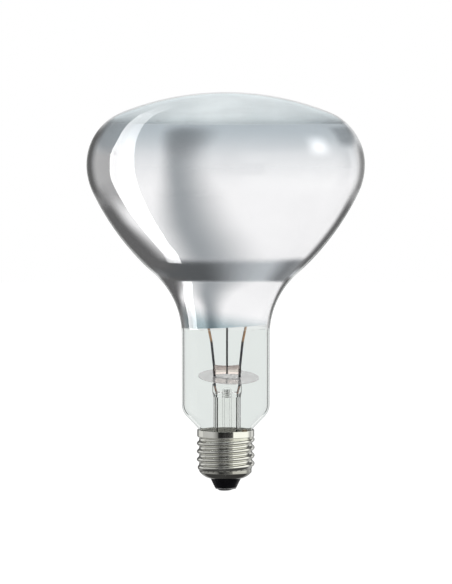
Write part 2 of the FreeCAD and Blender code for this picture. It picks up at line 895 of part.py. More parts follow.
os.makedirs("parts", exist_ok=True)
for name, piece in build().items():
    piece.exportStep(os.path.join("parts", name + ".step"))
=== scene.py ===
"""Looks of an infrared reflector heat lamp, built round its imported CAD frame.

Places are in metres in the frame of the CAD part: the origin is the tip of the centre contact,
+Z runs up the lamp's axis and the viewer of the photograph stands on the -Y side. The lamp is lit
by its surroundings and by cards about a metre off, which its film and its outside mirror.
"""
import math
from typing import NamedTuple

import bmesh
import bpy
import numpy as np
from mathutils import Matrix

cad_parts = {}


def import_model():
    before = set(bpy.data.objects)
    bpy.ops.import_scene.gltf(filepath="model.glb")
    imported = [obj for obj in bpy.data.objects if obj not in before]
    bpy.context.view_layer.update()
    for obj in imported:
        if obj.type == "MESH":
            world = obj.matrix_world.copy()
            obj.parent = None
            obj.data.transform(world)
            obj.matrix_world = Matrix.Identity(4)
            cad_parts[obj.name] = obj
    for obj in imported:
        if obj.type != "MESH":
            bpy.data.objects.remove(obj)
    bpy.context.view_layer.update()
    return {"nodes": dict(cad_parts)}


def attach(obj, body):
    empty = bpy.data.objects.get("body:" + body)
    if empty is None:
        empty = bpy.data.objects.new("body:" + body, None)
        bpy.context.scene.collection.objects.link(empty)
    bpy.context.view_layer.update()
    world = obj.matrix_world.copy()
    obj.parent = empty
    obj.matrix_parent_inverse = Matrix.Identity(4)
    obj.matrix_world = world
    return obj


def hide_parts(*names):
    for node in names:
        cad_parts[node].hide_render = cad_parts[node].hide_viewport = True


MM = 0.001
TURN = 2 * math.pi

# Bulb, in millimetres, as the CAD part draws it
BULB_LENGTH = 179.5
BOWL_RADIUS = 62.5
GLASS_WALL = 1.0
FACE_RADIUS = 126.0
SHOULDER_RADIUS = 25.4
UPPER_FLANK_RADIUS = 29.3
UPPER_FLANK_ANGLE = 25.8
LOWER_FLANK_RADIUS = 117.4
THROAT_RADIUS = 37.0
NECK_RADIUS = 19.8
NECK_FOOT = 39.0
NECK_CORNER = 7.8
NECK_CONE_ANGLE = 44.0
COLLAR_RADIUS = 10.9
COLLAR_FILLET = 7.3
SEAL_HEIGHT = 17.0

# Mirror inside the bowl
MIRROR_GAP = 0.03
MIRROR_THICKNESS = 0.1
MIRROR_TOP_ANGLE = 47.0
MIRROR_EDGE_HEIGHT = 74.7
MIRROR_EDGE_TILT = 2.9

# Stem and filament
STEM_SHIFT = 0.6
FILAMENT_HEIGHT = 112.0
FILAMENT_RING = 16.0
FILAMENT_COIL = 1.5
FILAMENT_GAP = 120.0
FILAMENT_TURNS = 84
FILAMENT_WIRE = 0.34

# Rolled shell of the cap
SHEET = 0.3
CREST_RADIUS = 13.05
ROOT_RADIUS = 12.0
PITCH = 3.629
THREAD_ARC = 1.025
THREAD_START = 12.2
TURNS_BELOW = 0.35
TURNS_ABOVE = 3.1
RUN_OUT = 0.35
SKIRT_RADIUS = 12.9
SKIRT_BOTTOM = 24.2
SKIRT_STEP = 0.9
RIM_HEIGHT = 27.4
BAND_RADIUS = 11.7
BAND_TOP = 9.6
DOME_TOP = 8.3
DOME_RADIUS = 7.5
MOUTH_RADIUS = 7.3
SHELL_BOTTOM = 5.5

# Fineness of the meshes: points along the bulb's arcs, rows and columns of the surfaces, the
# share of the film in its narrow first row, and how near doubles lie, in metres
FACE_POINTS = 30
SHOULDER_POINTS = 40
UPPER_FLANK_POINTS = 22
LOWER_FLANK_POINTS = 36
THROAT_POINTS = 40
CORNER_POINTS = 14
FILLET_POINTS = 12
BULB_COLUMNS = 192
MIRROR_ROWS = 150
MIRROR_LIP = 0.004
MIRROR_COLUMNS = 256
COIL_STEPS = 18
COIL_SIDES = 6
DOME_ROWS = 14
SHELL_ROWS = 150
SHELL_INSIDE_STEP = 3
SHELL_COLUMNS = 240
THREAD_HALVINGS = 60
DOUBLES_DISTANCE = 1e-7

# Heights, in millimetres, over which a finish turns into the next
SHEET_BURN_ENDS = (8.8, 11.6)
LEADS_TURN = (66.5, 68.5)
FILM_TINT_ENDS = (73.5, 83.0)
FILM_TINT_LEAN = 0.2
FILM_COOLS = (150.0, 164.0)
# Painted shade inside the domed face: darker and bluer below the first height, gone above the second
PAINTED_FACE_SHADE_ENDS = (164.0, 170.5)

# Glass, mica and the mottle of all finishes, its bump in metres
GLASS_INDEX = 1.5
GLASS_GRAIN = 60.0
GLASS_SHADE = 0.985
MICA_INDEX = 1.58
MOTTLE_DETAIL = 5.0
MOTTLE_RANGE = (0.3, 0.7)
MOTTLE_BUMP_HEIGHT = 0.0002

# Finish of each CAD node that stays, by the start of the node's name
NODE_FINISHES = {
    "lead_wire": "lead_nickel",
    "seal_wire": "copper_clad",
    "crimp_sleeve": "nickel_strip",
    "filament_clamp": "nickel_strip",
    "filament_hook": "tungsten",
    "hook_button": "clear_glass",
    "glass_bridge": "tinted_bead",
    "glass_stem": "pressed_glass",
    "exhaust_tube": "drawn_tube",
    "heat_baffle": "mica_sheet",
    "support_rod": "tinned_copper",
    "contact_lead": "tinned_copper",
    "rim_lead": "tinned_copper",
    "rim_solder": "stained_solder",
    "contact_plate": "dull_solder",
    "contact_solder": "dull_solder",
    "cap_insulator": "black_glass",
    "cap_cement": "baked_cement",
}

# The photograph: its frame in pixels and the lamp's place and scale in it
FRAME_WIDTH = 452
FRAME_HEIGHT = 584
PIXELS_PER_MM = 2.22
AXIS_COLUMN = 225.7
TIP_ROW = 491.0

# Camera, in metres and degrees, its sensor in millimetres, and how often light may bounce
CAMERA_DISTANCE = 1.5
CAMERA_ELEVATION = 3.0
SENSOR = 36.0
CLIP_START = 0.05
CLIP_END = 60.0
GLASS_BOUNCES = 28
MIRROR_BOUNCES = 12

# Cards of the studio, their distance in metres. A card of a higher layer stands nearer to the
# lamp, and it hides those of the lower layers. Rim cards stand RIM_LAYERS nearer than the others
CARD_DISTANCE = 1.2
LAYER_STEP = 0.01
GROUND_LAYER = -8
FACE_CARD_LAYER = -1
LAMP_LAYER = 15
FIRST_BOX_LAYER = 16
RIM_LAYERS = 21.5
STRIP_LAYER = 24
BACKDROP_LAYER = 40

# What the cards follow: the bulb's arcs, the last one run on by an angle in degrees, the low end
# of the bowl and the middle of the lamp, both as heights in millimetres
CARD_LINE_POINTS = 40
CARD_OVERRUN = 8.0
UNDER_HEIGHTS = (106.5, 95)
LAMP_MIDDLE = 90.0

# Floor and surroundings, in metres and in plain levels of light. The room is dim up to ROOM_END
# and dark from OVERHEAD_START, both as the upward part of a direction of length 1
FLOOR_DROP = 1.4
FLOOR_SIZE = 30.0
FLOOR_PAINT = 0.96
FLOOR_GLOW = 0.98
FLOOR_GLOW_IN_PICTURE = 1.04
FLOOR_GLOW_SHARE = 0.6
SKY_LOW = 1.08
SKY_TOP = 1.3
ROOM_LEVEL = 0.10
OVERHEAD_LEVEL = 0.04
ROOM_END = 0.60
OVERHEAD_START = 0.78


def cosd(angle):
    """Cosine of an angle in degrees."""
    return math.cos(math.radians(angle))


def sind(angle):
    """Sine of an angle in degrees."""
    return math.sin(math.radians(angle))


def arc(centre, radius, start, end, count):
    """Points (r, z) on a circle about centre, at angles from start to end in degrees from +r."""
    angle = np.radians(np.linspace(start, end, count))
    return np.stack([centre[0] + radius * np.cos(angle), centre[1] + radius * np.sin(angle)], 1)


class Bulb:
    """Centres of the tangent arcs of the bulb's outline, in millimetres."""

    def __init__(self):
        reach = FACE_RADIUS - SHOULDER_RADIUS
        self.face_angle = math.degrees(math.asin((BOWL_RADIUS - SHOULDER_RADIUS) / reach))
        self.face = (0.0, BULB_LENGTH - FACE_RADIUS)
        self.widest = self.face[1] + reach * cosd(self.face_angle)
        self.shoulder = (BOWL_RADIUS - SHOULDER_RADIUS, self.widest)
        self.upper = (BOWL_RADIUS - UPPER_FLANK_RADIUS, self.widest)
        step = LOWER_FLANK_RADIUS - UPPER_FLANK_RADIUS
        self.lower = (
            self.upper[0] - step * cosd(UPPER_FLANK_ANGLE),
            self.upper[1] + step * sind(UPPER_FLANK_ANGLE),
        )
        span = LOWER_FLANK_RADIUS + THROAT_RADIUS
        self.throat_angle = math.degrees(
            math.acos((NECK_RADIUS + THROAT_RADIUS - self.lower[0]) / span)
        )
        self.throat = (
            self.lower[0] + span * cosd(self.throat_angle),
            self.lower[1] - span * sind(self.throat_angle),
        )
        self.corner = (NECK_RADIUS - NECK_CORNER, NECK_FOOT)
        across = (
            (COLLAR_RADIUS + COLLAR_FILLET - self.corner[0]) * cosd(NECK_CONE_ANGLE)
            - COLLAR_FILLET
            - NECK_CORNER
        )
        self.collar_top = NECK_FOOT + across / sind(NECK_CONE_ANGLE)
        self.fillet = (COLLAR_RADIUS + COLLAR_FILLET, self.collar_top)

    def bowl(self, inset, top_angle):
        """From the shoulder at top_angle down to the top of the straight neck."""
        shoulder = SHOULDER_RADIUS - inset
        upper = UPPER_FLANK_RADIUS - inset
        lower = LOWER_FLANK_RADIUS - inset
        throat = THROAT_RADIUS + inset
        bend = -UPPER_FLANK_ANGLE
        foot = -self.throat_angle
        return np.vstack(
            [
                arc(self.shoulder, shoulder, top_angle, 0, SHOULDER_POINTS)[:-1],
                arc(self.upper, upper, 0, bend, UPPER_FLANK_POINTS)[:-1],
                arc(self.lower, lower, bend, foot, LOWER_FLANK_POINTS)[:-1],
                arc(self.throat, throat, 180 + foot, 180, THROAT_POINTS),
            ]
        )

    def outside(self):
        """Rows of radius, height and tilt of the outside, from the pole down the flank. The flank's
        last arc runs on beyond the throat, so that a card can reach past the steepest place."""
        parts = [
            (self.face, FACE_RADIUS, 90, 90 - self.face_angle),
            (self.shoulder, SHOULDER_RADIUS, 90 - self.face_angle, 0),
            (self.upper, UPPER_FLANK_RADIUS, 0, -UPPER_FLANK_ANGLE),
            (
                self.lower,
                LOWER_FLANK_RADIUS,
                -UPPER_FLANK_ANGLE,
                -self.throat_angle - CARD_OVERRUN,
            ),
        ]
        rows = []
        for centre, radius, start, end in parts:
            tilt = np.radians(np.linspace(start, end, CARD_LINE_POINTS))
            line = arc(centre, radius, start, end, CARD_LINE_POINTS)
            rows.append(np.column_stack([line, tilt])[:-1])
        return np.vstack(rows)

    def wall(self, inset):
        """The whole wall line, from the pole of the face to the seal."""
        top = 90 - self.face_angle
        cone = NECK_CONE_ANGLE
        return np.vstack(
            [
                arc(self.face, FACE_RADIUS - inset, 90, top, FACE_POINTS)[:-1],
                self.bowl(inset, top),
                arc(self.corner, NECK_CORNER - inset, 0, -cone, CORNER_POINTS),
                arc(self.fillet, COLLAR_FILLET + inset, 180 - cone, 180, FILLET_POINTS),
                [(COLLAR_RADIUS - inset, SEAL_HEIGHT)],
            ]
        )


def mesh_object(name, vertices, faces, sharp_angle=40.0):
    """A smooth shaded object, with its doubles merged and its faces turned outwards."""
    mesh = bpy.data.meshes.new(name)
    mesh.from_pydata(vertices.tolist(), [], faces.tolist())
    work = bmesh.new()
    work.from_mesh(mesh)
    bmesh.ops.remove_doubles(work, verts=work.verts, dist=DOUBLES_DISTANCE)
    bmesh.ops.recalc_face_normals(work, faces=work.faces)
    work.to_mesh(mesh)
    work.free()
    mesh.polygons.foreach_set("use_smooth", np.ones(len(mesh.polygons), bool))
    mesh.set_sharp_from_angle(angle=math.radians(sharp_angle))
    piece = bpy.data.objects.new(name, mesh)
    bpy.context.scene.collection.objects.link(piece)
    return piece


def grid_faces(rows, columns, wrap_rows=False, wrap_columns=False):
    """Quads over a grid of rows by columns, closed on itself along an axis where wrap is set."""
    i = np.arange(rows if wrap_rows else rows - 1)[:, None]
    j = np.arange(columns if wrap_columns else columns - 1)[None, :]
    below = (i + 1) % rows
    beside = (j + 1) % columns
    quads = [i * columns + j, i * columns + beside, below * columns + beside, below * columns + j]
    return np.stack(np.broadcast_arrays(*quads), -1).reshape(-1, 4)


def lathe(name, outline, columns):
    """A closed outline of (r, z) in millimetres turned round the axis:
    x = r cos a, y = r sin a, with a over one turn."""
    angle = np.linspace(0, TURN, columns, endpoint=False)
    radius = outline[:, 0][:, None] * MM
    x = radius * np.cos(angle)
    y = radius * np.sin(angle)
    z = np.broadcast_to(outline[:, 1][:, None] * MM, x.shape)
    points = np.stack([x, y, z], -1).reshape(-1, 3)
    faces = grid_faces(len(outline), columns, wrap_rows=True, wrap_columns=True)
    return mesh_object(name, points, faces)


def glass_bulb(bulb):
    """The blown wall: its outer line and, a wall's thickness in, its inner line, as one outline."""
    outline = np.vstack([bulb.wall(0), bulb.wall(GLASS_WALL)[::-1]])
    return lathe("bulb_glass", outline, BULB_COLUMNS)


def mirror_coating(bulb):
    """A film against the inside of the bowl. At azimuth a its lower edge lies at
    height + r cos(a) tan(tilt), so each column of the grid is squeezed to end there. A first
    narrow row keeps the film's top edge crisp."""
    outside = bulb.bowl(GLASS_WALL + MIRROR_GAP, MIRROR_TOP_ANGLE)
    inside = bulb.bowl(GLASS_WALL + MIRROR_GAP + MIRROR_THICKNESS, MIRROR_TOP_ANGLE)
    angle = np.linspace(0, TURN, MIRROR_COLUMNS, endpoint=False)
    lean = np.cos(angle) * math.tan(math.radians(MIRROR_EDGE_TILT))
    sides = []
    for line in (outside, inside):
        along = np.concatenate([[0], np.cumsum(np.hypot(*np.diff(line, axis=0).T))])
        reach = np.interp(MIRROR_EDGE_HEIGHT, line[::-1, 1], line[::-1, 0])
        end = np.interp(MIRROR_EDGE_HEIGHT + reach * lean, line[::-1, 1], along[::-1])
        share = np.concatenate([[0], np.linspace(MIRROR_LIP, 1, MIRROR_ROWS)])
        place = share[:, None] * end[None, :]
        radius = np.interp(place, along, line[:, 0])
        height = np.interp(place, along, line[:, 1])
        sides.append(np.stack([radius * np.cos(angle), radius * np.sin(angle), height], -1))
    points = np.vstack([sides[0], sides[1][::-1]]) * MM
    faces = grid_faces(len(points), MIRROR_COLUMNS, wrap_rows=True, wrap_columns=True)
    return mesh_object("mirror_film", points.reshape(-1, 3), faces, sharp_angle=60.0)


def tube(name, path, normals, radius, sides):
    """A round tube along a path, closed at its ends. Each ring starts from the path's own normal
    there, so the tube doesn't twist; a point is path + radius (cos a side + sin a up)."""
    tangent = np.gradient(path, axis=0)
    tangent /= np.linalg.norm(tangent, axis=1, keepdims=True)
    side = normals - (normals * tangent).sum(1, keepdims=True) * tangent
    side /= np.linalg.norm(side, axis=1, keepdims=True)
    up = np.cross(side, tangent)
    angle = np.linspace(0, TURN, sides, endpoint=False)[None, :, None]
    rings = path[:, None, :] + radius * (np.cos(angle) * side[:, None] + np.sin(angle) * up[:, None])
    start = np.broadcast_to(path[0], (1, sides, 3))
    end = np.broadcast_to(path[-1], (1, sides, 3))
    rings = np.vstack([start, rings, end])
    faces = grid_faces(len(rings), sides, wrap_columns=True)
    return mesh_object(name, rings.reshape(-1, 3), faces)


def filament_coil():
    """A helix about an open ring. At a share t of it the wire lies at ring radius * outwards +
    coil radius * normal, where normal = cos p outwards + sin p up and p = t * all its turns."""
    share = np.linspace(0, 1, FILAMENT_TURNS * COIL_STEPS)[:, None]
    azimuth = np.radians(90 + FILAMENT_GAP / 2 + share * (360 - FILAMENT_GAP))
    phase = TURN * FILAMENT_TURNS * share
    outwards = np.hstack([np.cos(azimuth), np.sin(azimuth), 0 * azimuth])
    normals = np.cos(phase) * outwards + np.sin(phase) * [0, 0, 1]
    coil_radius = (FILAMENT_COIL - FILAMENT_WIRE) / 2
    middle = np.array([STEM_SHIFT, 0, FILAMENT_HEIGHT])
    path = middle + FILAMENT_RING * outwards + coil_radius * normals
    return tube("filament_coil", path * MM, normals, FILAMENT_WIRE / 2 * MM, COIL_SIDES)


def ease(share):
    """0 up to a share of 0 and 1 from a share of 1, and smooth between them."""
    share = np.clip(share, 0, 1)
    return share * share * (3 - 2 * share)


def thread_height(distance):
    """Height over the root at a distance from the crest: a crest arc, a straight flank, a root arc.
    The flank's angle is found by halving the range that it lies in."""
    depth = CREST_RADIUS - ROOT_RADIUS
    low, high = 0.0, math.pi / 2
    for _ in range(THREAD_HALVINGS):
        flank = (low + high) / 2
        straight = PITCH / 2 - 2 * THREAD_ARC * math.sin(flank)
        rise = 2 * THREAD_ARC * (1 - math.cos(flank)) + straight * math.tan(flank)
        low, high = (flank, high) if rise < depth else (low, flank)
    reach = THREAD_ARC * math.sin(low)
    distance = np.abs(distance)
    crest = depth - THREAD_ARC + np.sqrt(np.maximum(THREAD_ARC**2 - distance**2, 0))
    from_root = PITCH / 2 - distance
    root = THREAD_ARC - np.sqrt(np.maximum(THREAD_ARC**2 - from_root**2, 0))
    flank_line = depth / 2 + (PITCH / 4 - distance) * math.tan(low)
    return np.where(distance < reach, crest, np.where(from_root < reach, root, flank_line))


def thread_rise(turn, height):
    """The thread at a place on the shell, faded out over its run-outs at both ends."""
    turns = (height - THREAD_START) / PITCH - turn
    nearest = np.floor(turns + 0.5)
    along = turn + nearest
    fade = ease((along + TURNS_BELOW) / RUN_OUT + 1) * ease((TURNS_ABOVE - along) / RUN_OUT + 1)
    return fade * thread_height((turns - nearest) * PITCH)


def shell_outline():
    """The shell's outside without its thread, as (r, z) from its mouth to its rim."""
    mouth = np.array([MOUTH_RADIUS, SHELL_BOTTOM])
    knee = np.array([BAND_RADIUS, DOME_TOP])
    chord = knee - mouth
    length = np.hypot(*chord)
    inward = np.array([-chord[1], chord[0]]) / length
    centre = (mouth + knee) / 2 + inward * math.sqrt(DOME_RADIUS**2 - (length / 2) ** 2)
    first, last = [math.degrees(math.atan2(*(p - centre)[::-1])) for p in (mouth, knee)]
    dome = arc(centre, DOME_RADIUS, first, last, DOME_ROWS)
    height = np.linspace(DOME_TOP, RIM_HEIGHT, SHELL_ROWS)
    to_root = ease((height - BAND_TOP) / SKIRT_STEP)
    to_skirt = ease((height - SKIRT_BOTTOM) / SKIRT_STEP + 0.5)
    radius = BAND_RADIUS + (ROOT_RADIUS - BAND_RADIUS) * to_root
    radius = radius + (SKIRT_RADIUS - ROOT_RADIUS) * to_skirt
    return np.vstack([dome[:-1], np.stack([radius, height], 1)])


def cap_shell():
    """The rolled sheet: r(a, z) is the outline's radius, or the root's and the thread's rise where
    that is more, and the inside is the same surface set in by the sheet's thickness."""
    outline = shell_outline()
    turn = np.linspace(0, 1, SHELL_COLUMNS, endpoint=False)[None, :]
    base = outline[:, 0][:, None]
    height = outline[:, 1][:, None]
    rise = thread_rise(turn, height)
    threaded = (height > DOME_TOP) & (rise > 0)
    outer = np.where(threaded, np.maximum(base, ROOT_RADIUS + rise), base)
    heights = np.broadcast_to(height, outer.shape)
    inner = outer[::SHELL_INSIDE_STEP] - SHEET
    radius = np.vstack([outer, inner[::-1]])
    heights = np.vstack([heights, heights[::SHELL_INSIDE_STEP][::-1]])
    angle = TURN * turn
    points = np.stack([radius * np.cos(angle), radius * np.sin(angle), heights], -1) * MM
    faces = grid_faces(len(points), SHELL_COLUMNS, wrap_rows=True, wrap_columns=True)
    return mesh_object("cap_sheet", points.reshape(-1, 3), faces, sharp_angle=50.0)


def new_material(name, kind="ShaderNodeBsdfPrincipled"):
    """A material of one shader, with its tree and that shader to go on from."""
    material = bpy.data.materials.new(name)
    material.use_nodes = True
    tree = material.node_tree
    tree.nodes.clear()
    output = tree.nodes.new("ShaderNodeOutputMaterial")
    shader = tree.nodes.new(kind)
    tree.links.new(shader.outputs[0], output.inputs["Surface"])
    return material, tree, shader


def feed(tree, socket, value):
    """Links a socket to another node's output, or sets it to a plain value."""
    if isinstance(value, bpy.types.NodeSocket):
        tree.links.new(value, socket)
    else:
        socket.default_value = value


def ramp(tree, value, start, end, first=0.0, last=1.0, smooth=False):
    """Runs from first, where the value is start, to last, where it is end, and stays there."""
    node = tree.nodes.new("ShaderNodeMapRange")
    if smooth:
        node.interpolation_type = "SMOOTHSTEP"
    feed(tree, node.inputs["Value"], value)
    feed(tree, node.inputs["From Min"], start)
    feed(tree, node.inputs["From Max"], end)
    feed(tree, node.inputs["To Min"], first)
    feed(tree, node.inputs["To Max"], last)
    return node.outputs["Result"]


def blend(tree, share, first, second):
    """A number between two, by a share."""
    mix = tree.nodes.new("ShaderNodeMix")
    feed(tree, mix.inputs["Factor"], share)
    feed(tree, mix.inputs["A"], first)
    feed(tree, mix.inputs["B"], second)
    return mix.outputs["Result"]


def mixed(tree, mask, first, second):
    """A colour between two, by a mask. Either is plain numbers or another node's output."""
    mix = tree.nodes.new("ShaderNodeMix")
    mix.data_type = "RGBA"
    sockets = [socket for socket in mix.inputs if socket.type == "RGBA"]
    for socket, colour in zip(sockets, (first, second)):
        is_output = isinstance(colour, bpy.types.NodeSocket)
        feed(tree, socket, colour if is_output else (*colour, 1))
    tree.links.new(mask, mix.inputs["Factor"])
    return [socket for socket in mix.outputs if socket.type == "RGBA"][0]


def mottle_group():
    """Fine variation over a surface: puts out a grey mask, a roughness and a bumped normal."""
    group = bpy.data.node_groups.new("mottle", "ShaderNodeTree")
    for name in ("Scale", "Rough Low", "Rough High", "Bump"):
        group.interface.new_socket(name, in_out="INPUT", socket_type="NodeSocketFloat")
    for name, kind in (("Mask", "Float"), ("Roughness", "Float"), ("Normal", "Vector")):
        group.interface.new_socket(name, in_out="OUTPUT", socket_type="NodeSocket" + kind)
    into = group.nodes.new("NodeGroupInput").outputs
    out = group.nodes.new("NodeGroupOutput").inputs
    place = group.nodes.new("ShaderNodeTexCoord")
    noise = group.nodes.new("ShaderNodeTexNoise")
    noise.inputs["Detail"].default_value = MOTTLE_DETAIL
    feed(group, noise.inputs["Vector"], place.outputs["Object"])
    feed(group, noise.inputs["Scale"], into["Scale"])
    mask = ramp(group, noise.outputs["Fac"], *MOTTLE_RANGE)
    bump = group.nodes.new("ShaderNodeBump")
    feed(group, bump.inputs["Distance"], MOTTLE_BUMP_HEIGHT)
    feed(group, bump.inputs["Strength"], into["Bump"])
    feed(group, bump.inputs["Height"], noise.outputs["Fac"])
    feed(group, out["Mask"], mask)
    feed(group, out["Roughness"], ramp(group, mask, 0, 1, into["Rough Low"], into["Rough High"]))
    feed(group, out["Normal"], bump.outputs["Normal"])
    return group


def mottle(tree, group, scale, rough, bump=0.0):
    """The group in a material: scale of its grain, least and most roughness, strength of its bump."""
    node = tree.nodes.new("ShaderNodeGroup")
    node.node_tree = group
    values = {"Scale": scale, "Rough Low": rough[0], "Rough High": rough[1], "Bump": bump}
    for name, value in values.items():
        node.inputs[name].default_value = value
    return node


def height_mask(tree, heights, lean=0.0):
    """0 below the first height and 1 above the second, in millimetres of z + lean * x, and smooth
    between them."""
    place = tree.nodes.new("ShaderNodeTexCoord")
    along = tree.nodes.new("ShaderNodeVectorMath")
    along.operation = "DOT_PRODUCT"
    along.inputs[1].default_value = (lean, 0.0, 1.0)
    tree.links.new(place.outputs["Object"], along.inputs[0])
    low, high = heights
    return ramp(tree, along.outputs["Value"], low * MM, high * MM, smooth=True)


def lay_on(tree, shader, fine, shade, bumped=False):
    """Feeds the shader a colour and the mottle's roughness and, where bumped, its normal."""
    feed(tree, shader.inputs["Base Color"], shade)
    feed(tree, shader.inputs["Roughness"], fine.outputs["Roughness"])
    if bumped:
        feed(tree, shader.inputs["Normal"], fine.outputs["Normal"])


def glass(name, group, tint, rough, bump=0.0, index=GLASS_INDEX):
    """Glass with a faint mottle in its tint. An index under that of glass keeps the edges of a
    piece as light as the photograph's."""
    material, tree, shader = new_material(name)
    fine = mottle(tree, group, GLASS_GRAIN, rough, bump)
    shade = mixed(tree, fine.outputs["Mask"], tint, [level * GLASS_SHADE for level in tint])
    lay_on(tree, shader, fine, shade, bumped=bump > 0)
    shader.inputs["Transmission Weight"].default_value = 1.0
    shader.inputs["IOR"].default_value = index
    return material


def etched_glass_painted_shade(group):
    """Glass with a soft etch, its tint a painted shade that grows darker and bluer towards the film.
    """
    material, tree, shader = new_material("etched_glass_painted_shade")
    fine = mottle(tree, group, scale=GLASS_GRAIN, rough=(0.15, 0.21))
    # Painted shade: the tint is darker and bluer towards the film and nearly clear above it
    painted_shade_tint, unshaded_tint = (0.50, 0.56, 0.59), (0.93, 0.99, 1.0)
    lay_on(tree, shader, fine, mixed(tree, height_mask(tree, PAINTED_FACE_SHADE_ENDS), painted_shade_tint, unshaded_tint))
    shader.inputs["Transmission Weight"].default_value = 1.0
    shader.inputs["IOR"].default_value = GLASS_INDEX
    return material


def metal(name, group, light, dark, scale, rough, bump=0.0):
    """Metal mottled from a light to a dark shade."""
    material, tree, shader = new_material(name)
    fine = mottle(tree, group, scale, rough, bump)
    shade = mixed(tree, fine.outputs["Mask"], light, dark)
    lay_on(tree, shader, fine, shade, bumped=bump > 0)
    shader.inputs["Metallic"].default_value = 1.0
    return material


def plated_sheet(group):
    """Bright plating, burnt darker by the solder bath round the contact."""
    material, tree, shader = new_material("plated_sheet")
    fine = mottle(tree, group, scale=120.0, rough=(0.05, 0.10))
    clean = mixed(tree, fine.outputs["Mask"], (0.84, 0.84, 0.79), (0.76, 0.76, 0.70))
    burnt = mixed(tree, fine.outputs["Mask"], (0.50, 0.50, 0.46), (0.36, 0.35, 0.32))
    lay_on(tree, shader, fine, mixed(tree, height_mask(tree, SHEET_BURN_ENDS), burnt, clean))
    shader.inputs["Metallic"].default_value = 1.0
    return material


def mirror_metal(group):
    """The film: bright aluminium, a little cooler at its top, and tinted where it thins out at
    its foot."""
    material, tree, shader = new_material("mirror_film")
    fine = mottle(tree, group, scale=35.0, rough=(0.07, 0.10))
    bright, cooler, tinted = (0.93, 0.93, 0.935), (0.84, 0.88, 0.90), (0.36, 0.46, 0.49)
    shade = mixed(tree, height_mask(tree, FILM_COOLS), bright, cooler)
    shade = mixed(tree, height_mask(tree, FILM_TINT_ENDS, FILM_TINT_LEAN), tinted, shade)
    lay_on(tree, shader, fine, shade)
    shader.inputs["Metallic"].default_value = 1.0
    return material


def mica_sheet(group):
    """Pale mica with flakes in it, which lets nearly half of the light through."""
    material, tree, shader = new_material("mica_sheet")
    fine = mottle(tree, group, scale=220.0, rough=(0.03, 0.09), bump=0.1)
    shade = mixed(tree, fine.outputs["Mask"], (0.95, 0.92, 0.91), (0.82, 0.77, 0.76))
    lay_on(tree, shader, fine, shade, bumped=True)
    shader.inputs["Transmission Weight"].default_value = 0.45
    shader.inputs["IOR"].default_value = MICA_INDEX
    return material


def lead_metal(group):
    """Dark nickel, turned coppery by heat above the first bend."""
    material, tree, shader = new_material("lead_nickel")
    fine = mottle(tree, group, scale=400.0, rough=(0.25, 0.45), bump=0.1)
    dark = mixed(tree, fine.outputs["Mask"], (0.045, 0.045, 0.05), (0.09, 0.09, 0.095))
    coppery = (0.42, 0.27, 0.17)
    lay_on(tree, shader, fine, mixed(tree, height_mask(tree, LEADS_TURN), dark, coppery))
    shader.inputs["Metallic"].default_value = 1.0
    return material


def poured_glass(group):
    """Black glass, poured into the end of the cap."""
    material, tree, shader = new_material("black_glass")
    fine = mottle(tree, group, scale=300.0, rough=(0.12, 0.25), bump=0.15)
    shade = mixed(tree, fine.outputs["Mask"], (0.0012, 0.0012, 0.002), (0.003, 0.003, 0.0045))
    lay_on(tree, shader, fine, shade, bumped=True)
    shader.inputs["Specular IOR Level"].default_value = 0.25
    return material


def baked_cement(group):
    """Pale cement with a coarse grain."""
    material, tree, shader = new_material("baked_cement")
    fine = mottle(tree, group, scale=900.0, rough=(0.8, 0.95), bump=0.5)
    shade = mixed(tree, fine.outputs["Mask"], (0.80, 0.77, 0.71), (0.66, 0.63, 0.57))
    lay_on(tree, shader, fine, shade, bumped=True)
    return material


def dress(piece, *materials):
    """Gives a piece these materials and no others."""
    piece.data.materials.clear()
    for material in materials:
        piece.data.materials.append(material)


def face_rows(piece, what):
    """The centre or the normal of each face of a piece, as rows of x, y and z."""
    values = np.empty(len(piece.data.polygons) * 3)
    piece.data.polygons.foreach_get(what, values)
    return values.reshape(-1, 3)


def part_bulb(piece, bulb):
    """Gives the inside of the domed face, down to the film, the bulb's second material, and the
    neck below the film its third."""
    centres = face_rows(piece, "center")
    normals = face_rows(piece, "normal")
    inward = ((centres - [0, 0, bulb.widest * MM]) * normals).sum(1) < 0
    film_top = bulb.shoulder[1] + (SHOULDER_RADIUS - GLASS_WALL) * sind(MIRROR_TOP_ANGLE)
    film_foot = MIRROR_EDGE_HEIGHT - NECK_RADIUS * sind(MIRROR_EDGE_TILT)
    slot = np.zeros(len(centres), np.int32)
    slot[inward & (centres[:, 2] > film_top * MM)] = 1
    slot[centres[:, 2] < film_foot * MM] = 2
    piece.data.polygons.foreach_set("material_index", slot)


def part_shell(piece):
    """Gives the inside of the sheet, smeared with cement, its second material."""
    outwards = (face_rows(piece, "center")[:, :2] * face_rows(piece, "normal")[:, :2]).sum(1)
    piece.data.polygons.foreach_set("material_index", (outwards < 0).astype(np.int32))


def glow(name, colour, level=1.0):
    """A material that only shines, with its tree and light to go on from."""
    material, tree, light = new_material(name, "ShaderNodeEmission")
    light.inputs["Color"].default_value = (*colour, 1)
    light.inputs["Strength"].default_value = level
    return material, tree, light


def join_shaders(tree, share, under, over):
    """Lays one shader over another by a share, as the material's surface."""
    mix = tree.nodes.new("ShaderNodeMixShader")
    feed(tree, mix.inputs["Fac"], share)
    tree.links.new(under.outputs[0], mix.inputs[1])
    tree.links.new(over.outputs[0], mix.inputs[2])
    tree.links.new(mix.outputs["Shader"], tree.nodes["Material Output"].inputs["Surface"])


def cover_of_card(tree):
    """The card's attribute cover: 1 where it is whole, falling to 0 at its soft edges."""
    cover = tree.nodes.new("ShaderNodeAttribute")
    cover.attribute_name = "cover"
    return cover.outputs["Fac"]


def veiled_glow(name, colour, level):
    """Glow that hides what stands behind the card, and thins out with its cover."""
    material, tree, light = glow(name, colour, level)
    clear = tree.nodes.new("ShaderNodeBsdfTransparent")
    join_shaders(tree, cover_of_card(tree), clear, light)
    return material


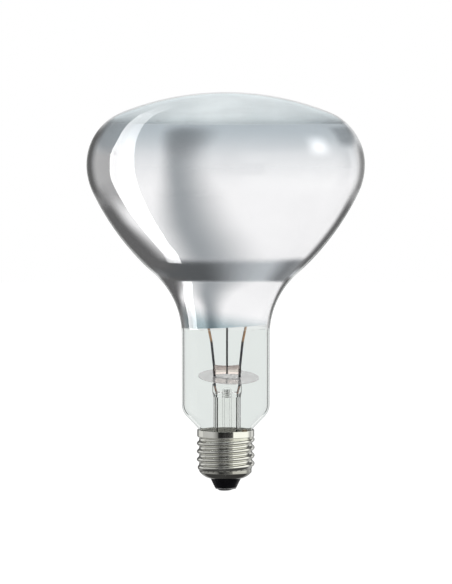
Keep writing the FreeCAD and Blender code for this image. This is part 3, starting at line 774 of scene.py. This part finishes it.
def added_glow(name, colour, level):
    """Glow that adds to what stands behind the card, by its cover."""
    material, tree, light = glow(name, colour)
    feed(tree, light.inputs["Strength"], ramp(tree, cover_of_card(tree), 0, 1, 0.0, level))
    clear = tree.nodes.new("ShaderNodeBsdfTransparent")
    both = tree.nodes.new("ShaderNodeAddShader")
    tree.links.new(clear.outputs["BSDF"], both.inputs[0])
    tree.links.new(light.outputs["Emission"], both.inputs[1])
    tree.links.new(both.outputs["Shader"], tree.nodes["Material Output"].inputs["Surface"])
    return material


class BentCard(NamedTuple):
    """A card that follows the bulb. Its rows face points of the bulb at heights in millimetres.
    Left and right are its edges there, as side shares x / radius from left (1) to right (-1): one
    for each height, or a single one for all. Soft holds the shares of it over which it eases out
    at its top, foot, left and right. The outside of the glass mirrors a rim card too."""

    name: str
    heights: tuple
    left: tuple | float
    right: tuple | float
    soft: tuple
    colour: tuple
    level: float
    rim: bool = False


class SkyCard(NamedTuple):
    """A patch of a sphere about the lamp's middle. Azimuth 0 is towards the camera and positive to
    the camera's left; both ranges are in degrees, from the left and from the top. Soft is as for a
    bent card."""

    name: str
    azimuth: tuple
    elevation: tuple
    soft: tuple
    colour: tuple
    level: float


WHITE = (1.0, 1.0, 1.0)
COOL = (0.90, 0.96, 1.0)

# Flags that the film mirrors, each one layer nearer than the one before it
FLAGS = (
    BentCard(
        name="shoulder_flag",
        heights=(171, 160, 134),
        left=1.0,
        right=-1.0,
        soft=(0.0, 0.85, 0.0, 0.0),
        colour=COOL,
        level=0.66,
    ),
    BentCard(
        name="gap_flag",
        heights=(167, 161, 155, 149, 142, 136, 128, 121, 110, 100),
        left=(0.52, 0.52, 0.49, 0.49, 0.51, 0.54, 0.60, 0.65, 0.68, 0.69),
        right=(-0.02, -0.02, 0.07, 0.09, 0.04, -0.03, -0.12, -0.22, -0.46, -0.62),
        soft=(0.06, 0.10, 0.35, 0.65),
        colour=COOL,
        level=0.42,
    ),
    BentCard(
        name="gap_top_flag",
        heights=(165, 160, 154, 146),
        left=(0.52, 0.52, 0.49, 0.49),
        right=(0.02, 0.02, 0.09, 0.08),
        soft=(0.20, 0.7, 0.35, 0.65),
        colour=COOL,
        level=0.31,
    ),
    BentCard(
        name="left_rim_flag",
        heights=(141, 132, 121, 114, 107, 98),
        left=1.0,
        right=(0.86, 0.83, 0.76, 0.64, 0.52, 0.45),
        soft=(0.35, 0.1, 0.0, 0.6),
        colour=WHITE,
        level=0.13,
        rim=True,
    ),
    BentCard(
        name="left_rim_upper_flag",
        heights=(168, 160, 147, 128),
        left=1.0,
        right=(0.92, 0.915, 0.915, 0.90),
        soft=(0.2, 0.2, 0.0, 0.65),
        colour=WHITE,
        level=0.12,
        rim=True,
    ),
    BentCard(
        name="right_rim_upper_flag",
        heights=(160, 147, 132),
        left=-0.94,
        right=-1.0,
        soft=(0.3, 0.2, 0.6, 0.0),
        colour=WHITE,
        level=0.26,
        rim=True,
    ),
    BentCard(
        name="left_side_flag",
        heights=(160, 147, 124),
        left=1.0,
        right=(0.70, 0.70, 0.66),
        soft=(0.2, 0.3, 0.0, 0.3),
        colour=WHITE,
        level=0.42,
    ),
    BentCard(
        name="left_brow_flag",
        heights=(167, 160, 150),
        left=1.0,
        right=(0.70, 0.70, 0.72),
        soft=(0.1, 0.4, 0.0, 0.4),
        colour=COOL,
        level=0.42,
    ),
    BentCard(
        name="right_brow_flag",
        heights=(165, 154),
        left=(-0.78, -0.80),
        right=-1.0,
        soft=(0.2, 0.4, 0.4, 0.0),
        colour=COOL,
        level=0.42,
    ),
    BentCard(
        name="right_side_flag",
        heights=(160, 147, 124),
        left=(-0.90, -0.92, -0.90),
        right=-1.0,
        soft=(0.2, 0.3, 0.6, 0.0),
        colour=WHITE,
        level=0.60,
    ),
    BentCard(
        name="right_rim_flag",
        heights=(142, 120, 98),
        left=(-0.93, -0.90, -0.84),
        right=-1.0,
        soft=(0.35, 0.1, 0.5, 0.0),
        colour=WHITE,
        level=0.14,
        rim=True,
    ),
    BentCard(
        name="under_flag",
        heights=UNDER_HEIGHTS,
        left=0.97,
        right=-0.97,
        soft=(0.28, 0.0, 0.0, 0.0),
        colour=COOL,
        level=0.60,
    ),
    BentCard(
        name="under_right_flag",
        heights=UNDER_HEIGHTS,
        left=-0.50,
        right=-1.0,
        soft=(0.28, 0.0, 0.6, 0.0),
        colour=COOL,
        level=0.24,
    ),
    BentCard(
        name="under_left_flag",
        heights=UNDER_HEIGHTS,
        left=0.97,
        right=-0.50,
        soft=(0.28, 0.0, 0.0, 0.55),
        colour=COOL,
        level=0.11,
    ),
)

# The strip light, a soft lamp that only the film mirrors, and a card for the outside of the face
STRIP_LIGHT = BentCard(
    name="strip_light",
    heights=(174, 171, 165, 159, 152, 142, 127, 113, 108, 104),
    left=(0.71, 0.755, 0.785, 0.79, 0.815, 0.815, 0.765, 0.685, 0.65, 0.66),
    right=(0.53, 0.61, 0.65, 0.65, 0.643, 0.63, 0.60, 0.54, 0.50, 0.50),
    soft=(0.30, 0.0, 0.0, 0.0),
    colour=WHITE,
    level=9.0,
)
RIGHT_LAMP = BentCard(
    name="right_lamp",
    heights=(162, 150),
    left=-0.56,
    right=-0.78,
    soft=(0.5, 0.5, 0.5, 0.5),
    colour=WHITE,
    level=0.55,
)
FACE_CARD = BentCard(
    name="face_card",
    heights=(179.4, 164),
    left=1.0,
    right=-1.0,
    soft=(0.0, 0.3, 0.0, 0.0),
    colour=(0.88, 0.97, 1.0),
    level=1.13,
)

# Soft boxes and flags that all but the film mirrors, each one layer nearer than the one before it
BOXES = (
    SkyCard("right_box", (-4, -118), (36, -32), (0.2, 0.2, 0.2, 0.2), (1.0, 1.0, 0.96), 1.2),
    SkyCard("left_box", (118, -4), (36, -32), (0.2, 0.2, 0.2, 0.15), WHITE, 0.58),
    SkyCard("right_back_box", (-120, -180), (20, -16), (0.2, 0.2, 0.1, 0.0), WHITE, 0.8),
    SkyCard("left_back_box", (180, 100), (20, -16), (0.2, 0.2, 0.0, 0.1), WHITE, 0.8),
    SkyCard("tall_flag", (58, 0), (40, -34), (0.2, 0.2, 0.6, 0.3), WHITE, 0.16),
    SkyCard("lens_flag", (33, -33), (11, -14), (0.2, 0.2, 0.08, 0.08), WHITE, 0.01),
)

# Dark ground for the same pieces, and the pale backdrop that shows through the neck
GROUND = SkyCard("ground_flag", (180, -180), (-30, -89), (0.2, 0.0, 0.0, 0.0), WHITE, 0.09)
BACKDROP = SkyCard(
    name="neck_backdrop",
    azimuth=(197, 163),
    elevation=(9, -24),
    soft=(0.1, 0.1, 0.1, 0.1),
    colour=(0.97, 1.0, 0.985),
    level=0.82,
)


def soft_edge(share, first, last):
    """1 in the middle of a run from 0 to 1, easing to 0 over first and last at its two ends."""
    rise = ease(share / first) if first else np.ones_like(share)
    fall = ease((1 - share) / last) if last else np.ones_like(share)
    return rise * fall


def studio_card(card, points, rows, columns, material):
    """A card of the studio, out of the picture and seen only in reflections."""
    mesh = bpy.data.meshes.new(card.name)
    mesh.from_pydata(points.reshape(-1, 3).tolist(), [], grid_faces(rows, columns).tolist())
    top, foot, left, right = card.soft
    down = soft_edge(np.linspace(0, 1, rows), top, foot)[:, None]
    across = soft_edge(np.linspace(0, 1, columns), left, right)[None, :]
    cover = mesh.attributes.new("cover", "FLOAT", "POINT")
    cover.data.foreach_set("value", (down * across).ravel())
    mesh.materials.append(material)
    piece = bpy.data.objects.new(card.name, mesh)
    bpy.context.scene.collection.objects.link(piece)
    piece.visible_camera = False
    piece.visible_diffuse = False
    piece.visible_shadow = False
    return piece


def card_distance(layer):
    """How far off the cards of a layer stand: the higher the layer, the nearer."""
    return CARD_DISTANCE - LAYER_STEP * layer


def camera_place():
    """Far back on the -Y side, where the lamp's axis and tip fall on their pixels."""
    aim_x = (FRAME_WIDTH / 2 - AXIS_COLUMN) / PIXELS_PER_MM * MM
    aim_z = (TIP_ROW - FRAME_HEIGHT / 2) / PIXELS_PER_MM * MM
    back = CAMERA_DISTANCE * cosd(CAMERA_ELEVATION)
    return np.array([aim_x, -back, aim_z + CAMERA_DISTANCE * sind(CAMERA_ELEVATION)])


def bent_card(card, bulb, layer, kind):
    """Each point of the card stands far from a point of the bulb, along the camera's ray mirrored
    there: look - 2 (look . normal) normal. Kind is the function that makes its material."""
    rows, columns = 36, 24
    line = bulb.outside()[::-1]
    height = np.linspace(card.heights[0], card.heights[-1], rows)
    radius = np.interp(height, line[:, 1], line[:, 0])[:, None] * MM
    tilt = np.interp(height, line[:, 1], line[:, 2])[:, None]
    order = np.argsort(card.heights)
    edges = []
    for side in (card.left, card.right):
        shares = np.broadcast_to(side, len(card.heights))
        edges.append(np.interp(height, np.take(card.heights, order), shares[order])[:, None])
    first, last = edges
    share = first + (last - first) * np.linspace(0, 1, columns)
    front = np.sqrt(np.maximum(1 - share**2, 0))
    place = np.stack([-radius * share, -radius * front, height[:, None] * MM + 0 * share], -1)
    normal = np.stack([-np.cos(tilt) * share, -np.cos(tilt) * front, np.sin(tilt) + 0 * share], -1)
    look = place - camera_place()
    look /= np.linalg.norm(look, axis=-1, keepdims=True)
    mirrored = look - 2 * (look * normal).sum(-1, keepdims=True) * normal
    points = place + card_distance(layer) * mirrored
    return studio_card(card, points, rows, columns, kind(card.name, card.colour, card.level))


def sky_card(card, layer):
    """The points of the card lie at azimuth a and elevation e, distance * (-cos e sin a,
    -cos e cos a, sin e) from the lamp's middle."""
    rows, columns = 18, 30
    turn = np.radians(np.linspace(*card.azimuth, columns))[None, :]
    lift = np.radians(np.linspace(*card.elevation, rows))[:, None]
    flat = np.cos(lift)
    points = np.stack([-flat * np.sin(turn), -flat * np.cos(turn), np.sin(lift) + 0 * turn], -1)
    points = points * card_distance(layer) + [0, 0, LAMP_MIDDLE * MM]
    material = veiled_glow(card.name, card.colour, card.level)
    return studio_card(card, points, rows, columns, material)


def build_strip(bulb, wall):
    """The strip light, which only the clear outside of the glass mirrors."""
    strip = bent_card(STRIP_LIGHT, bulb, STRIP_LAYER, added_glow)
    strip.visible_transmission = False
    lit = bpy.data.collections.new("lit_by_strip")
    lit.objects.link(wall)
    strip.light_linking.receiver_collection = lit


def build_cards(bulb):
    """All other cards. Rays that the film mirrors behind the glass are rays of transmission, and
    those that the outside of a piece mirrors are glossy; a card is shown to one kind or both."""
    for layer, flag in enumerate(FLAGS):
        nearer = RIM_LAYERS if flag.rim else 0
        card = bent_card(flag, bulb, layer + nearer, veiled_glow)
        card.visible_glossy = flag.rim
    lamp = bent_card(RIGHT_LAMP, bulb, LAMP_LAYER, added_glow)
    lamp.visible_glossy = False
    face_card = bent_card(FACE_CARD, bulb, FACE_CARD_LAYER, veiled_glow)
    face_card.visible_transmission = False
    for layer, box in enumerate(BOXES, start=FIRST_BOX_LAYER):
        card = sky_card(box, layer)
        card.visible_transmission = False
    ground = sky_card(GROUND, GROUND_LAYER)
    ground.visible_transmission = False
    backdrop = sky_card(BACKDROP, BACKDROP_LAYER)
    backdrop.visible_glossy = False


def mirrored_only(tree):
    """1 for rays that a surface has mirrored and 0 for those that came through the glass, which
    Cycles also counts as glossy."""
    path = tree.nodes.new("ShaderNodeLightPath")
    rest = tree.nodes.new("ShaderNodeMath")
    rest.operation = "SUBTRACT"
    rest.use_clamp = True
    tree.links.new(path.outputs["Is Glossy Ray"], rest.inputs[0])
    tree.links.new(path.outputs["Is Transmission Ray"], rest.inputs[1])
    return rest.outputs["Value"]


def build_world():
    """White to the camera, a sky for all that comes through the glass, and a dim room, dark
    overhead, for all that a surface mirrors."""
    world = bpy.data.worlds.new("studio")
    bpy.context.scene.world = world
    world.use_nodes = True
    tree = world.node_tree
    tree.nodes.clear()
    output = tree.nodes.new("ShaderNodeOutputWorld")
    back = tree.nodes.new("ShaderNodeBackground")
    back.inputs["Color"].default_value = (*WHITE, 1)
    path = tree.nodes.new("ShaderNodeLightPath")
    place = tree.nodes.new("ShaderNodeTexCoord")
    split = tree.nodes.new("ShaderNodeSeparateXYZ")
    tree.links.new(place.outputs["Generated"], split.inputs["Vector"])
    up = split.outputs["Z"]
    sky = ramp(tree, up, 0, 1, SKY_LOW, SKY_TOP)
    room = ramp(tree, up, ROOM_END, OVERHEAD_START, ROOM_LEVEL, OVERHEAD_LEVEL, smooth=True)
    unseen = blend(tree, mirrored_only(tree), sky, room)
    level = blend(tree, path.outputs["Is Camera Ray"], unseen, 1.0)
    tree.links.new(level, back.inputs["Strength"])
    tree.links.new(back.outputs["Background"], output.inputs["Surface"])


def build_floor():
    """A pale floor far below, mostly glow, so that it stays white round its soft shadow."""
    mesh = bpy.data.meshes.new("floor")
    corners = [(-1, -1), (1, -1), (1, 1), (-1, 1)]
    places = [(x * FLOOR_SIZE, y * FLOOR_SIZE, -FLOOR_DROP) for x, y in corners]
    mesh.from_pydata(places, [], [(0, 1, 2, 3)])
    floor = bpy.data.objects.new("floor", mesh)
    bpy.context.scene.collection.objects.link(floor)
    material, tree, light = glow("floor", WHITE)
    path = tree.nodes.new("ShaderNodeLightPath")
    level = ramp(tree, path.outputs["Is Camera Ray"], 0, 1, FLOOR_GLOW, FLOOR_GLOW_IN_PICTURE)
    feed(tree, light.inputs["Strength"], ramp(tree, mirrored_only(tree), 0, 1, level, 0.0))
    matt = tree.nodes.new("ShaderNodeBsdfDiffuse")
    matt.inputs["Color"].default_value = (FLOOR_PAINT, FLOOR_PAINT, FLOOR_PAINT, 1)
    join_shaders(tree, FLOOR_GLOW_SHARE, matt, light)
    mesh.materials.append(material)


def build_camera():
    """A long lens that looks down a little, with the photograph's frame and scale."""
    data = bpy.data.cameras.new("camera")
    camera = bpy.data.objects.new("camera", data)
    bpy.context.scene.collection.objects.link(camera)
    bpy.context.scene.camera = camera
    data.sensor_fit = "VERTICAL"
    data.sensor_height = SENSOR
    data.lens = SENSOR * CAMERA_DISTANCE / (FRAME_HEIGHT / PIXELS_PER_MM * MM)
    data.clip_start = CLIP_START
    data.clip_end = CLIP_END
    camera.location = camera_place()
    camera.rotation_euler = (math.radians(90 - CAMERA_ELEVATION), 0, 0)


def stand_in(piece, node):
    """Puts a piece in the place of a CAD node."""
    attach(piece, "root")
    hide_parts(node)


# Plain glasses, with their least and most roughness
GLASSES = {
    "clear_glass": dict(tint=(0.992, 0.991, 0.994), rough=(0.0, 0.004)),
    "neck_glass": dict(tint=(0.985, 0.995, 0.99), rough=(0.0, 0.004), index=1.05),
    "drawn_tube": dict(tint=(0.99, 0.99, 0.99), rough=(0.0, 0.004), index=1.06),
    "pressed_glass": dict(tint=(0.98, 0.98, 0.97), rough=(0.02, 0.03), bump=0.4, index=1.12),
    "tinted_bead": dict(tint=(0.84, 0.74, 0.69), rough=(0.02, 0.03), bump=0.6, index=1.35),
}

# Plain metals, with the scale of their grain and their least and most roughness
METALS = {
    "nickel_strip": dict(
        light=(0.22, 0.20, 0.19), dark=(0.12, 0.11, 0.10), scale=500.0, rough=(0.3, 0.5), bump=0.1
    ),
    "dull_solder": dict(
        light=(0.38, 0.38, 0.39), dark=(0.26, 0.26, 0.27), scale=600.0, rough=(0.35, 0.55), bump=0.4
    ),
    "stained_solder": dict(
        light=(0.34, 0.29, 0.22), dark=(0.16, 0.12, 0.08), scale=900.0, rough=(0.3, 0.6), bump=0.4
    ),
    "copper_clad": dict(
        light=(0.42, 0.18, 0.10), dark=(0.30, 0.12, 0.07), scale=600.0, rough=(0.3, 0.5)
    ),
    "tinned_copper": dict(
        light=(0.10, 0.10, 0.10), dark=(0.06, 0.06, 0.06), scale=600.0, rough=(0.3, 0.5)
    ),
    "tungsten": dict(
        light=(0.30, 0.30, 0.31), dark=(0.22, 0.22, 0.23), scale=900.0, rough=(0.3, 0.45)
    ),
}


def build_finishes():
    """All finishes of the lamp, by name."""
    fine = mottle_group()
    finishes = {
        "etched_glass_painted_shade": etched_glass_painted_shade(fine),
        "black_glass": poured_glass(fine),
        "mirror_film": mirror_metal(fine),
        "plated_sheet": plated_sheet(fine),
        "lead_nickel": lead_metal(fine),
        "mica_sheet": mica_sheet(fine),
        "baked_cement": baked_cement(fine),
    }
    for name, values in GLASSES.items():
        finishes[name] = glass(name, fine, **values)
    for name, values in METALS.items():
        finishes[name] = metal(name, fine, **values)
    return finishes


def build_new_pieces(bulb, finishes):
    """The bulb, its film, the coil and the cap's sheet, each in place of its CAD node."""
    wall = glass_bulb(bulb)
    dress(wall, finishes["clear_glass"], finishes["etched_glass_painted_shade"], finishes["neck_glass"])
    part_bulb(wall, bulb)
    stand_in(wall, "glass_bulb")
    build_strip(bulb, wall)
    film = mirror_coating(bulb)
    dress(film, finishes["mirror_film"])
    stand_in(film, "mirror_coating")
    coil = filament_coil()
    dress(coil, finishes["tungsten"])
    stand_in(coil, "filament")
    sheet = cap_shell()
    dress(sheet, finishes["plated_sheet"], finishes["baked_cement"])
    part_shell(sheet)
    stand_in(sheet, "cap_shell")


def dress_nodes(nodes, finishes):
    """Dresses the CAD nodes that stay, by the start of their names."""
    for name, node in nodes.items():
        for start, finish in NODE_FINISHES.items():
            if name.startswith(start):
                dress(node, finishes[finish])


def main():
    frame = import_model()
    bulb = Bulb()
    scene = bpy.context.scene
    scene.view_settings.view_transform = "Standard"
    scene.cycles.max_bounces = GLASS_BOUNCES
    scene.cycles.glossy_bounces = MIRROR_BOUNCES
    scene.cycles.transmission_bounces = GLASS_BOUNCES
    finishes = build_finishes()
    build_new_pieces(bulb, finishes)
    dress_nodes(frame["nodes"], finishes)
    build_cards(bulb)
    build_world()
    build_floor()
    build_camera()
    bpy.context.view_layer.update()


main()
